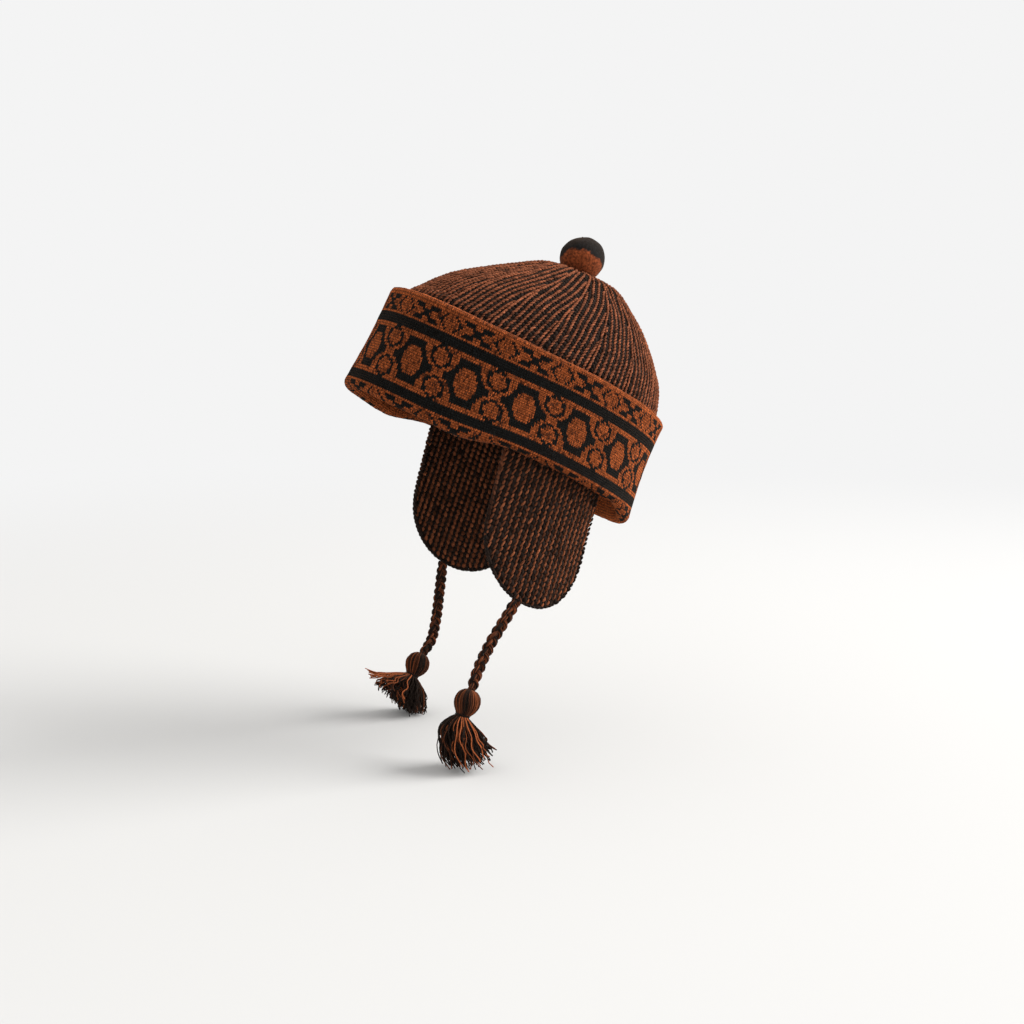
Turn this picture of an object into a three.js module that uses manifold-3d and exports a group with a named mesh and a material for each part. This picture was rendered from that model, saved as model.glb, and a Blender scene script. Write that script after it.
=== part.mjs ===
// A knitted hat with a turned-up patterned cuff, two ear flaps, a felt pompom, and braided ties with tassels.
// Millimetres, +Z up: the face looks along -Y and the wearer's left is at +X.
// The origin is the point inside the crown that rests on the top of the head.
import * as THREE from "three";
import { mergeVertices } from "three/addons/utils/BufferGeometryUtils.js";
import Module from "manifold-3d";

// The head that the hat is stretched over, and how the hat sits on it
const headLength = 194;
const headWidth = 158;
const hatTilt = THREE.MathUtils.degToRad(25.5); // front up, back down

// Crown
const crownHeight = 69; // above the top of the cuff
const crownTuck = 54; // below the top of the cuff
const crownWall = 3.5;
const gores = 8; // sections between the lines where the ribs are decreased
const goreDepth = 2.2;

// Cuff: a thick turned-up band with a rounded hem, a soft fold and a lip inside it
const cuffHeight = 69;
const cuffWall = 5;
const cuffFlare = { side: 1.5, front: 4.5, back: 5.5 }; // how far the fold stands out from straight down
const cuffStand = 2; // how far the hem stands off the crown at the back
const foreheadDrop = 5.5; // how much lower the fold lies in front of the ear flaps
const napeDrop = 5; // and behind them
const browRise = 5; // how far the whole cuff is pulled up at the front
const napeSag = 5; // and how far it sinks at the back

// Ear flaps
const flapWidth = 87;
const flapDrop = 88; // from the fold to the tip
const flapLap = 14; // how far the flap reaches up inside the cuff
const flapWall = 4;
const flapTurn = THREE.MathUtils.degToRad(13); // how far behind the side of the head its middle is
const flapHang = THREE.MathUtils.degToRad(15); // lean of its ribs from plumb, towards the face at the tip

// Ties, tassels and their bindings
const tieWidth = 8;
const tieThickness = 5.5;
const tieSeat = -0.18; // where a tie leaves its flap, as a share of the half width, towards the face
const tasselHead = { width: 17.5, height: 17.5 };
const tasselWaist = 8.5;
const tasselSkirt = { width: 42, drop: 27.5 };
const tasselLocks = 10;
const lockWidth = 9.5;
const lockFlatness = 0.8; // thickness by width
const shortLock = 0.94; // every other lock's length by the rest
const coreLength = 0.88; // length of what they lie on, by theirs
const coreProud = 1; // and how far it reaches past their middles
const bindingYarn = 2.4;

// Pompom
const pompomWidth = 30;

const gap = 0.3; // between pieces that touch
const flapClear = 0.6; // more round the flaps, whose facets don't match those of the wall outside them
const speck = 1e-4; // shorter edges than this are dropped
const columnsAround = 6 * gores; // facets round the crown and the cuff

const yarn = { rust: 0x96482a, black: 0x1e1e20 };
const looks = {
  crown: { color: 0x5a2e1c, roughness: 0.95 },
  cuff: { color: 0x8a4424, roughness: 0.95 },
  flap: { color: 0x4a281a, roughness: 0.95 },
  tie: { color: 0x3a2018, roughness: 0.9 },
  tassel: { color: yarn.rust, roughness: 0.9 },
  binding: { color: yarn.black, roughness: 0.9 },
  pompom: { color: 0x8c4522, roughness: 1 },
};

const wasm = await Module();
wasm.setup();

// Closed bodies from grids of points

// The facets between two rows of points, facing right when the rows run from left to right and low to high.
function addStrip(corners, low, high, ringed) {
  function add(a, b, c) {
    const edges = [a.distanceTo(b), b.distanceTo(c), c.distanceTo(a)];
    if (Math.min(...edges) > speck) corners.push(...a, ...b, ...c);
  }
  const last = ringed ? low.length : low.length - 1;
  for (let k = 0; k < last; k++) {
    const next = (k + 1) % low.length;
    add(low[k], low[next], high[next]);
    add(low[k], high[next], high[k]);
  }
}

function geometryOf(corners) {
  const geometry = new THREE.BufferGeometry();
  geometry.setAttribute("position", new THREE.Float32BufferAttribute(corners, 3));
  geometry.computeVertexNormals();
  return geometry;
}

// A wall with an outer and an inner skin, joined along their edges. A row can shrink to a point.
function wallBody(outer, inner, ringed) {
  const corners = [];
  for (let row = 0; row < outer.length - 1; row++) {
    addStrip(corners, outer[row], outer[row + 1], ringed);
    addStrip(corners, inner[row + 1], inner[row], ringed);
  }
  addStrip(corners, inner[0], outer[0], ringed);
  addStrip(corners, outer.at(-1), inner.at(-1), ringed);
  if (!ringed) {
    const edge = (grid, k) => grid.map((row) => row.at(k));
    addStrip(corners, edge(outer, 0), edge(inner, 0), false);
    addStrip(corners, edge(inner, -1), edge(outer, -1), false);
  }
  return geometryOf(corners);
}

// A closed section carried all the way round: one row of points for each corner of the section.
function ringBody(rows) {
  const corners = [];
  rows.forEach((row, k) => addStrip(corners, row, rows[(k + 1) % rows.length], true));
  return geometryOf(corners);
}

// A rod of round sections, closed at both ends.
function rodBody(sections) {
  const corners = [];
  const middle = (row) => row.reduce((sum, p) => sum.add(p), new THREE.Vector3()).divideScalar(row.length);
  const end = (row) => row.map(() => middle(row));
  addStrip(corners, end(sections[0]), sections[0], true);
  sections.slice(1).forEach((row, k) => addStrip(corners, sections[k], row, true));
  addStrip(corners, sections.at(-1), end(sections.at(-1)), true);
  return geometryOf(corners);
}

function solidOf(geometry) {
  const bare = geometry.clone();
  bare.deleteAttribute("normal");
  bare.deleteAttribute("uv");
  const merged = mergeVertices(bare, 1e-3);
  const vertProperties = merged.attributes.position.array;
  const triVerts = new Uint32Array(merged.index.array);
  return new wasm.Manifold(new wasm.Mesh({ numProp: 3, vertProperties, triVerts }));
}

function fused(geometries) {
  const whole = geometries.map(solidOf).reduce((sum, solid) => sum.add(solid));
  const { vertProperties, triVerts } = whole.getMesh();
  const geometry = new THREE.BufferGeometry();
  geometry.setAttribute("position", new THREE.BufferAttribute(vertProperties, 3));
  geometry.setIndex(new THREE.BufferAttribute(triVerts, 1));
  const facets = geometry.toNonIndexed();
  facets.computeVertexNormals();
  return facets;
}

// Tables and curves

// One column of a table as a smooth run: share 0 is its first row, share 1 its last.
function columnOf(table, name) {
  const curve = new THREE.SplineCurve(table.map((row, k) => new THREE.Vector2(k, row[name])));
  return (share) => curve.getPoint(share).y;
}

const steps = (count) => Array.from({ length: count + 1 }, (_, k) => k / count);
const turns = (count) => Array.from({ length: count }, (_, k) => (k / count) * 2 * Math.PI);

// Points of an arc in a section, as { out, up }.
function arcOf(centre, radius, from, to, count) {
  return steps(count).map((share) => {
    const angle = THREE.MathUtils.degToRad(from + share * (to - from));
    return { out: centre.out + radius * Math.cos(angle), up: centre.up + radius * Math.sin(angle) };
  });
}

// The head's oval in the hat's own frame, set out by some distance.
// Turn 0 is at the wearer's left, and a quarter turn is at the back.
function oval(turn, out, up) {
  const across = Math.cos(turn) / headWidth;
  const along = Math.sin(turn) / headLength;
  const size = Math.hypot(across, along);
  return new THREE.Vector3(
    (headWidth / 2) * Math.cos(turn) + (out * across) / size,
    (headLength / 2) * Math.sin(turn) + (out * along) / size,
    up,
  );
}

const toBack = (turn) => Math.max(Math.sin(turn), 0) ** 2;
const toFront = (turn) => Math.max(-Math.sin(turn), 0) ** 2;
const cuffShift = (turn) => browRise * toFront(turn) - napeSag * toBack(turn);

// Crown

// Rings of the crown's outside, from its edge inside the cuff to its top, where the pompom is sewn into a dimple.
// up is a share of the crown's height, or of its tuck below the cuff's top. back says how far back the ring's
// middle lies, and length and width are its size, as shares of half the head with the wall on. lean is how much
// higher its back lies than its middle, as a share of the crown's height.
const crownRings = [
  { up: -1, back: 0, length: 1, width: 1, lean: 0 },
  { up: -0.5, back: 0.005, length: 0.995, width: 0.998, lean: 0 },
  { up: 0, back: 0.025, length: 0.975, width: 0.985, lean: 0 },
  { up: 0.145, back: 0.048, length: 0.935, width: 0.945, lean: 0 },
  { up: 0.29, back: 0.07, length: 0.877, width: 0.885, lean: 0 },
  { up: 0.435, back: 0.08, length: 0.79, width: 0.8, lean: 0.005 },
  { up: 0.58, back: 0.1, length: 0.68, width: 0.69, lean: 0.01 },
  { up: 0.72, back: 0.115, length: 0.56, width: 0.56, lean: 0.015 },
  { up: 0.85, back: 0.115, length: 0.43, width: 0.425, lean: 0.02 },
  { up: 0.95, back: 0.115, length: 0.32, width: 0.305, lean: 0.022 },
  { up: 0.99, back: 0.1, length: 0.22, width: 0.205, lean: 0.018 },
  { up: 0.985, back: 0.08, length: 0.15, width: 0.145, lean: 0.008 },
  { up: 0.955, back: 0.072, length: 0.095, width: 0.09, lean: 0.002 },
  { up: 0.93, back: 0.07, length: 0.05, width: 0.048, lean: 0 },
  { up: 0.92, back: 0.07, length: 0, width: 0, lean: 0 },
];
const crownUp = columnOf(crownRings, "up");
const crownBack = columnOf(crownRings, "back");
const crownLength = columnOf(crownRings, "length");
const crownWidth = columnOf(crownRings, "width");
const crownLean = columnOf(crownRings, "lean");
const gorePlace = { middle: 0.6, spread: 0.2 }; // where the creases are deepest, as a share of the rings

function crownPoint(turn, share) {
  const halfLength = headLength / 2 + crownWall;
  const halfWidth = headWidth / 2 + crownWall;
  const up = crownUp(share);
  const line = (1 - Math.abs(Math.cos((gores * turn) / 2))) ** 2;
  const crease = goreDepth * line * Math.exp(-(((share - gorePlace.middle) / gorePlace.spread) ** 2));
  const inward = 1 - crease / (halfWidth * Math.max(crownWidth(share), 0.1));
  return new THREE.Vector3(
    halfWidth * crownWidth(share) * inward * Math.cos(turn),
    halfLength * (crownBack(share) + crownLength(share) * inward * Math.sin(turn)),
    up * (up < 0 ? crownTuck : crownHeight) +
      cuffShift(turn) * THREE.MathUtils.clamp(1 - up, 0, 1) +
      crownLean(share) * crownHeight * Math.sin(turn),
  );
}

function crownInside(turn, share) {
  const small = 1e-3;
  const point = crownPoint(turn, share);
  if (share === 1) return point.setZ(point.z - crownWall);
  const around = crownPoint(turn + small, share).sub(crownPoint(turn - small, share));
  const above = crownPoint(turn, Math.min(share + small, 1));
  const upward = above.sub(crownPoint(turn, Math.max(share - small, 0)));
  return point.addScaledVector(around.cross(upward).normalize(), -crownWall);
}

function crownGeometry() {
  const columns = turns(columnsAround);
  const rows = steps(18);
  const skin = (at) => rows.map((share) => columns.map((turn) => at(turn, share)));
  return wallBody(skin(crownPoint), skin(crownInside), true);
}

// Cuff

// Its section at one turn: down the lip, round the fold, up the outside, over the hem and down to the lip.
function cuffSection(turn) {
  const forehead = THREE.MathUtils.smoothstep(-Math.sin(turn), 0.15, 0.55);
  const nape = THREE.MathUtils.smoothstep(Math.sin(turn), 0.7, 1);
  const foot = -cuffHeight - foreheadDrop * forehead - napeDrop * nape;
  const lipTop = -crownTuck - gap;
  const whole = crownWall + gap + cuffWall;
  const foldRadius = whole / 2;
  const hemRadius = cuffWall / 2;
  const fold = { out: foldRadius, up: foot + foldRadius };
  const hem = { out: whole - hemRadius, up: -hemRadius };
  return [
    { out: 0, up: lipTop },
    ...arcOf(fold, foldRadius, 180, 360, 6),
    { out: whole, up: 0.62 * foot },
    { out: whole, up: 0.3 * foot },
    ...arcOf(hem, hemRadius, 0, 180, 5),
    { out: whole - cuffWall, up: 0.5 * lipTop },
    { out: whole - cuffWall, up: lipTop + gap },
    { out: crownWall, up: lipTop },
  ];
}

function cuffPoint(turn, corner) {
  const frontMore = (cuffFlare.front - cuffFlare.side) * toFront(turn);
  const backMore = (cuffFlare.back - cuffFlare.side) * toBack(turn);
  const flare = cuffFlare.side + frontMore + backMore;
  const depth = THREE.MathUtils.clamp(-corner.up / cuffHeight, 0, 1);
  const stand = cuffStand * toBack(turn) * (1 - depth) ** 2;
  return oval(turn, corner.out + flare * depth ** 2 + stand, corner.up + cuffShift(turn));
}

function cuffGeometry() {
  const columns = turns(columnsAround);
  const sections = columns.map(cuffSection);
  const rows = sections[0].map((_, k) => columns.map((turn, column) => cuffPoint(turn, sections[column][k])));
  return ringBody(rows);
}

// Ear flaps

// The wearer's left flap in the hat's frame. across goes from -1 at its front edge to 1 at its back edge.
const flapDown = new THREE.Vector3(0, Math.sin(hatTilt - flapHang), -Math.cos(hatTilt - flapHang));
const flapTop = -cuffHeight + flapLap;

function flapPoint(across, share, depth) {
  const halfWidth = flapWidth / 2;
  const reach = flapLap + flapDrop - halfWidth + halfWidth * Math.sqrt(1 - across ** 2);
  const turn = flapTurn + (across * halfWidth) / (headLength / 2);
  return oval(turn, -flapClear - depth, flapTop).addScaledVector(flapDown, share * reach);
}

function flapGeometry() {
  const columns = steps(14).map((share) => Math.sin((share - 0.5) * Math.PI));
  const rows = steps(10).reverse();
  const skin = (depth) => rows.map((share) => columns.map((across) => flapPoint(across, share, depth)));
  return wallBody(skin(0), skin(flapWall), false);
}

// Tassels, in a frame of their own: the top of the head is at 0 and the skirt hangs down -Z

// Points down one side of the head, as shares of half its width and of its height.
const headOutline = [
  { out: 0, down: 0 },
  { out: 0.48, down: 0.04 },
  { out: 0.84, down: 0.2 },
  { out: 1, down: 0.45 },
  { out: 0.9, down: 0.7 },
];

function tasselTop() {
  const waist = tasselWaist / 2;
  const depth = tasselHead.height + bindingYarn / 2;
  const { width, height } = tasselHead;
  const profile = [
    ...headOutline.map(({ out, down }) => new THREE.Vector2((out * width) / 2, -down * height)),
    new THREE.Vector2(waist, -tasselHead.height + bindingYarn),
    new THREE.Vector2(waist, -depth),
    new THREE.Vector2(0, -depth),
  ];
  return new THREE.LatheGeometry(profile.reverse(), 20).rotateX(Math.PI / 2);
}

// Stations down the skirt: out and down are shares of half its width and of its drop, thick of a lock's.
const skirtStations = [
  { out: 0.08, down: 0, thick: 0.2 },
  { out: 0.3, down: 0.16, thick: 0.62 },
  { out: 0.56, down: 0.4, thick: 0.92 },
  { out: 0.72, down: 0.72, thick: 1 },
  { out: 0.77, down: 1, thick: 0.8 },
];

// A place in the skirt at one station. fan is how far the skirt's end is swept aside.
function skirtPlace({ out, down }, turn, length, fan) {
  const radius = (out * tasselSkirt.width) / 2;
  const place = new THREE.Vector3(radius * Math.cos(turn), radius * Math.sin(turn), -tasselHead.height);
  place.z -= down * length * tasselSkirt.drop;
  return place.addScaledVector(fan, down ** 2);
}

function lockBody(turn, length, fan) {
  const sideways = new THREE.Vector3(-Math.sin(turn), Math.cos(turn), 0);
  const places = skirtStations.map((station) => skirtPlace(station, turn, length, fan));
  const curve = new THREE.CatmullRomCurve3(places);
  const sections = skirtStations.map(({ thick }, k) => {
    const tangent = curve.getTangent(k / (skirtStations.length - 1));
    const across = tangent.clone().cross(sideways).normalize();
    return turns(6).map((angle) => {
      const point = places[k].clone().addScaledVector(sideways, (thick * lockWidth * Math.cos(angle)) / 2);
      return point.addScaledVector(across, (thick * lockWidth * lockFlatness * Math.sin(angle)) / 2);
    });
  });
  return rodBody(sections);
}

// What the locks lie on: it reaches a little past their middles, so nothing is closed in between them.
function skirtCore(fan) {
  const around = turns(2 * tasselLocks).reverse();
  const sections = skirtStations.map((station) =>
    around.map((turn) => {
      const wide = { ...station, out: station.out + (2 * coreProud) / tasselSkirt.width };
      return skirtPlace(wide, turn, coreLength, fan);
    }),
  );
  return rodBody(sections);
}

function tasselGeometry(fan) {
  const locks = turns(tasselLocks).map((turn, k) => lockBody(turn, k % 2 ? 1 : shortLock, fan));
  return fused([tasselTop(), skirtCore(fan), ...locks]);
}

// The binding lies round the waist, clear of the skirt that spreads below it.
function bindingGeometry() {
  const radius = bindingYarn / 2;
  const centre = { out: tasselWaist / 2 + gap + radius, up: radius / 2 - tasselHead.height };
  const ring = arcOf(centre, radius, 0, 360, 6);
  const section = ring.map(({ out, up }) => new THREE.Vector2(out, up));
  return new THREE.LatheGeometry(section, 20).rotateX(Math.PI / 2);
}

// Ties and how their tassels hang. A route runs from the edge of the flap to the top of the tassel, as points
// chosen by hand. hang is the way that the tassel's axis points, and fan is how far its skirt is swept aside.
const ties = {
  left: {
    route: [
      [0, 0, 0],
      [0, -8, -12],
      [0.5, -18, -26.5],
      [1, -25, -39],
      [2, -29.5, -48.5],
      [3, -32.5, -56],
    ],
    hang: [0.06, -0.38, -0.92],
    fan: [0, 13, 4.5],
  },
  right: {
    route: [
      [0, 0, 0],
      [1, -3, -21],
      [2, -6, -40],
      [4, -10.5, -55],
      [6, -17.5, -64],
    ],
    hang: [0.18, -0.54, -0.82],
    fan: [0, 1, 4.5],
  },
};

function tieGeometry(curve) {
  const section = new THREE.Shape();
  section.absellipse(0, 0, tieThickness / 2, tieWidth / 2, 0, 2 * Math.PI);
  return new THREE.ExtrudeGeometry(section, { steps: 6, curveSegments: 5, extrudePath: curve });
}

// Assembly

function meshOf(name, geometry, look) {
  const mesh = new THREE.Mesh(geometry, new THREE.MeshStandardMaterial({ ...look, metalness: 0 }));
  mesh.name = name;
  return mesh;
}

const beanie = new THREE.Group();
const hat = new THREE.Group(); // the hat's own frame: its origin is the middle of the cuff's top
hat.rotation.x = -hatTilt;
hat.add(meshOf("crown", crownGeometry(), looks.crown));
hat.add(meshOf("cuff", cuffGeometry(), looks.cuff));

// The head bears on the highest place inside the crown, which comes to the origin.
const frontAndBack = [-Math.PI / 2, Math.PI / 2];
const seat = steps(400)
  .flatMap((share) => frontAndBack.map((turn) => crownInside(turn, share)))
  .map((point) => point.applyEuler(hat.rotation))
  .reduce((best, point) => (point.z > best.z ? point : best));
hat.position.set(0, -seat.y, -seat.z);
hat.updateMatrix();
beanie.add(hat);

// The pompom sits in the dimple at the top of the crown, let down until it meets it.
const pompom = meshOf("pompom", new THREE.SphereGeometry(pompomWidth / 2, 20, 12), looks.pompom);
const dimple = crownPoint(0, 1);
const bed = steps(40).flatMap((share) => turns(24).map((turn) => crownPoint(turn, 0.6 + 0.4 * share)));
const rests = bed.map((point) => {
  const aside = Math.hypot(point.x - dimple.x, point.y - dimple.y);
  return aside < pompomWidth / 2 ? point.z + Math.sqrt((pompomWidth / 2) ** 2 - aside ** 2) : point.z;
});
pompom.position.set(dimple.x, dimple.y, Math.max(...rests) + gap);
hat.add(pompom);

for (const [side, sign] of [["left", 1], ["right", -1]]) {
  const flap = meshOf(`ear_flap_${side}`, flapGeometry(), looks.flap);
  flap.scale.x = sign;
  hat.add(flap);

  // The tie's flat end lies just beyond the flap's curved edge.
  const edgePoint = (across, depth) => flapPoint(across, 1, depth).multiply(flap.scale).applyMatrix4(hat.matrix);
  const tip = edgePoint(tieSeat, flapWall / 2);
  const route = ties[side].route.map((point) => new THREE.Vector3(...point).add(tip));
  const leaving = new THREE.CatmullRomCurve3(route).getTangent(0);
  const edge = steps(8).flatMap((share) => {
    const across = tieSeat + ((share - 0.5) * 2.5 * tieWidth) / flapWidth;
    return [edgePoint(across, 0), edgePoint(across, flapWall)];
  });
  const beyond = Math.max(...edge.map((point) => point.sub(route[0]).dot(leaving))) + gap;
  route.forEach((point) => point.addScaledVector(leaving, beyond));
  const curve = new THREE.CatmullRomCurve3(route);
  beanie.add(meshOf(`tie_${side}`, tieGeometry(curve), looks.tie));

  // The tassel's flat top keeps clear of the tie's end, which meets it at an angle.
  const hang = new THREE.Vector3(...ties[side].hang).normalize();
  const slant = curve.getTangent(1).angleTo(hang);
  const tassel = new THREE.Group();
  tassel.position.copy(route.at(-1)).addScaledVector(hang, gap + (tieWidth / 2) * Math.sin(slant));
  tassel.quaternion.setFromUnitVectors(new THREE.Vector3(0, 0, -1), hang);
  tassel.add(meshOf(`tassel_${side}`, tasselGeometry(new THREE.Vector3(...ties[side].fan)), looks.tassel));
  tassel.add(meshOf(`binding_${side}`, bindingGeometry(), looks.binding));
  beanie.add(tassel);
}

export default beanie;
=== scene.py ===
import math

import bpy
import numpy as np
from mathutils import Matrix, Vector


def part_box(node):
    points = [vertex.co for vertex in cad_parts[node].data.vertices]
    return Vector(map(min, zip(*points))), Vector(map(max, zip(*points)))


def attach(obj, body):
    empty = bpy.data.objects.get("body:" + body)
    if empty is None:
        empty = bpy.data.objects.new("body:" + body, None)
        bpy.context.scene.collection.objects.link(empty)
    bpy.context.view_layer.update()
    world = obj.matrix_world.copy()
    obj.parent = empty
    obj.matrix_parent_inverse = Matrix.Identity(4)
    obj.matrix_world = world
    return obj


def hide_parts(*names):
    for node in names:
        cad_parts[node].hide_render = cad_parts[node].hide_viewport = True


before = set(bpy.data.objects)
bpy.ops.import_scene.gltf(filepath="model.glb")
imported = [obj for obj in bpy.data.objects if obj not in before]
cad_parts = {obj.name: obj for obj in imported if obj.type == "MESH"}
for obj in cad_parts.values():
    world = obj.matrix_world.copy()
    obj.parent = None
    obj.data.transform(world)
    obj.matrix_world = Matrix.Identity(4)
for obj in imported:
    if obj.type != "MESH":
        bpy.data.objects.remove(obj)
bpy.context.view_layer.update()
mm = 0.001
print("frame loaded")

# Camera, light and floor

camera = {"place": (1.11844, -0.44983, 0.01346), "heading": 69, "pitch": -8.73, "lens": 61.0}
studio = {
    "white": "#f4f4f4",  # what the walls and the far floor show
    "floor": "#c7c6c4",
    "floorHeight": -0.3265, "floorRadius": 12,
    "fadeFrom": 0.4,  # distances over which the floor turns into the room
    "fadeTo": 1.6, "keyPlace": (1.5, 4.2, 2.2), "keySize": 4.6, "keyPower": 490,
    "fillPlace": (1.5, -0.9, 0.9), "fillPower": 1, "aim": (0, -0.02, -0.15),
}


def linear(hexColour):
    parts = [int(hexColour[k : k + 2], 16) / 255 for k in (1, 3, 5)]
    return [p / 12.92 if p < 0.04045 else ((p + 0.055) / 1.055) ** 2.4 for p in parts] + [1.0]


def addNode(tree, kind, inputs=None, **settings):
    # An input is a plain value, a socket, or a node whose first output is meant.
    node = tree.nodes.new(kind)
    for name, value in settings.items():
        setattr(node, name, value)
    for name, value in (inputs or {}).items():
        source = value.outputs[0] if isinstance(value, bpy.types.Node) else value
        if isinstance(source, bpy.types.NodeSocket):
            tree.links.new(source, node.inputs[name])
        else:
            node.inputs[name].default_value = source
    return node


def addSteps(tree, values, steps):
    # Sums: each step is a name, an operation and what goes in, as numbers or names of earlier values.
    for name, operation, *given in steps:
        inputs = {k: values.get(item, item) for k, item in enumerate(given)}
        values[name] = addNode(tree, "ShaderNodeMath", inputs, operation=operation)
    return values


def newMaterial(name):
    material = bpy.data.materials.new(name)
    material.use_nodes = True
    material.node_tree.nodes.clear()
    return material, material.node_tree


def placed(name, data):
    thing = bpy.data.objects.new(name, data)
    bpy.context.scene.collection.objects.link(thing)
    return thing


def addCamera():
    data = bpy.data.cameras.new("camera")
    data.lens = camera["lens"]
    data.sensor_width = 36
    data.clip_start = 0.01
    eye = placed("camera", data)
    eye.location = camera["place"]
    eye.rotation_euler = (math.radians(90 + camera["pitch"]), 0, math.radians(camera["heading"]))
    bpy.context.scene.camera = eye


def addSoftbox(name, place, size, power):
    data = bpy.data.lights.new(name, "AREA")
    data.shape = "DISK"
    data.size = size
    data.energy = power
    lamp = placed(name, data)
    lamp.location = place
    aim = Vector(studio["aim"]) - Vector(place)
    lamp.rotation_euler = aim.to_track_quat("-Z", "Y").to_euler()


def addFloor():
    # Painted board: matt white near the hat, and beyond it the white of the room, so no horizon shows.
    material, tree = newMaterial("painted board")
    place = addNode(tree, "ShaderNodeTexCoord").outputs["Object"]
    distance = addNode(tree, "ShaderNodeVectorMath", {0: place}, operation="LENGTH").outputs["Value"]
    span = {"Value": distance, "From Min": studio["fadeFrom"], "From Max": studio["fadeTo"]}
    fade = addNode(tree, "ShaderNodeMapRange", span, interpolation_type="SMOOTHSTEP")
    board = addNode(tree, "ShaderNodeBsdfDiffuse", {"Color": linear(studio["floor"])})
    room = addNode(tree, "ShaderNodeEmission", {"Color": linear(studio["white"])})
    blend = addNode(tree, "ShaderNodeMixShader", {0: fade, 1: board, 2: room})
    addNode(tree, "ShaderNodeOutputMaterial", {"Surface": blend})
    bpy.ops.mesh.primitive_circle_add(vertices=96, radius=studio["floorRadius"], fill_type="NGON")
    floor = bpy.context.object
    floor.name = "floor"
    floor.data.transform(Matrix.Translation((0, 0, studio["floorHeight"])))
    floor.data.materials.append(material)


addCamera()
addFloor()
world = bpy.data.worlds.new("studio")
bpy.context.scene.world = world
world.use_nodes = True
world.node_tree.nodes["Background"].inputs["Color"].default_value = linear(studio["white"])
addSoftbox("key softbox", studio["keyPlace"], studio["keySize"], studio["keyPower"])
addSoftbox("fill softbox", studio["fillPlace"], studio["keySize"], studio["fillPower"])
bpy.context.scene.view_settings.view_transform = "Standard"
print("camera, light and floor made")

# The hat's own frame, and the sizes that the pieces share

hat = {"tilt": 25.5, "origin": (0, -8.648, -63.391), "headLength": 194, "headWidth": 158, "gores": 8}


def toRow(points):
    # From the tilted hat's frame to the frame of the whole model.
    tilt = math.radians(hat["tilt"])
    x, y, z = np.moveaxis(np.asarray(points, float), -1, 0)
    turned = [x, y * math.cos(tilt) + z * math.sin(tilt), z * math.cos(tilt) - y * math.sin(tilt)]
    return np.stack(turned, -1) + np.array(hat["origin"])


def oval(turn, out, up):
    across = np.cos(turn) / hat["headWidth"]
    along = np.sin(turn) / hat["headLength"]
    size = np.hypot(across, along)
    x = hat["headWidth"] / 2 * np.cos(turn) + out * across / size
    y = hat["headLength"] / 2 * np.sin(turn) + out * along / size
    return np.stack(np.broadcast_arrays(x, y, up), -1)


def lengthAlong(points):
    # How far along a line each of its points is.
    return np.concatenate([[0], np.cumsum(np.linalg.norm(np.diff(points, axis=0), axis=1))])


def roundTurns():
    # Shares of the way round the oval, and the turn at each of them.
    turns = np.linspace(0, math.tau, 4001)
    run = lengthAlong(oval(turns, 8, 0))
    return run / run[-1], turns


waysRound, turnsRound = roundTurns()


def turnAt(way):
    # The turn where that share of the way round has been gone.
    return np.interp(way % 1, waysRound, turnsRound) + math.tau * np.floor(way)


def smoothstep(value, low, high):
    share = np.clip((value - low) / (high - low), 0, 1)
    return share * share * (3 - 2 * share)


def toBack(turn):
    return np.maximum(np.sin(turn), 0) ** 2


def toFront(turn):
    return np.maximum(-np.sin(turn), 0) ** 2


def cuffShift(turn):
    return cuff["browRise"] * toFront(turn) - cuff["napeSag"] * toBack(turn)


def unit(vectors):
    return vectors / np.maximum(np.linalg.norm(vectors, axis=-1, keepdims=True), 1e-9)


def ripple(seed, *coordinates):
    # A smooth uneven field from a few waves, between about -1 and 1.
    draw = np.random.default_rng(seed)
    total = 0
    for _ in range(7):
        wave = sum(c * draw.uniform(-1, 1) for c in coordinates)
        total = total + np.sin(wave * draw.uniform(0.6, 2.2) + draw.uniform(0, 6.28)) * draw.uniform(0.4, 1)
    return total / 3


def gridFaces(rows, columns, ringed=True, closed=False):
    r = np.arange(rows if closed else rows - 1)[:, None]
    c = np.arange(columns if ringed else columns - 1)[None, :]
    up, right = (r + 1) % rows, (c + 1) % columns
    corners = [r * columns + c, r * columns + right, up * columns + right, up * columns + c]
    return np.stack([np.broadcast_to(k, (len(r), c.shape[1])) for k in corners], -1).reshape(-1, 4)


def meshPiece(name, points, faces, material, pointValues=None, faceValues=None, edges=()):
    mesh = bpy.data.meshes.new(name)
    places = (np.asarray(points, float).reshape(-1, 3) * mm).tolist()
    mesh.from_pydata(places, list(edges), list(map(list, faces)))
    for domain, values in (("POINT", pointValues or {}), ("FACE", faceValues or {})):
        for key, data in values.items():
            data = np.asarray(data, np.float32)
            kind = "FLOAT_VECTOR" if data.ndim > 1 else "FLOAT"
            attribute = mesh.attributes.new(key, kind, domain)
            attribute.data.foreach_set("vector" if data.ndim > 1 else "value", data.ravel())
    mesh.materials.append(material)
    if len(faces):
        corners = np.asarray(points, float).reshape(-1, 3)
        a, b, c = corners[np.array([list(face)[:3] for face in faces])].swapaxes(0, 1)
        if (a * np.cross(b, c)).sum() < 0:  # the faces look inward
            mesh.flip_normals()
        mesh.polygons.foreach_set("use_smooth", [True] * len(mesh.polygons))
    return placed(name, mesh)


def fit(piece, slot, *nodes):
    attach(piece, "root")
    if nodes:
        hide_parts(*nodes)
    return piece


# Wool

wool = {
    "rust": "#8e4723",
    "rustDusty": "#703f29",
    # the same rust yarn painted darker for the flaps: painted shade, as they hang under the cuff
    "rustShadedFlap": "#673923",
    "rustYarn": "#8e4b2a",
    "black": "#101212",
    "blackWarm": "#19120f",
    "rim": "#c09a80",  # colour of the light that stray fibres catch
    "fuzz": 0.12, "bump": 0.5,
}


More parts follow.
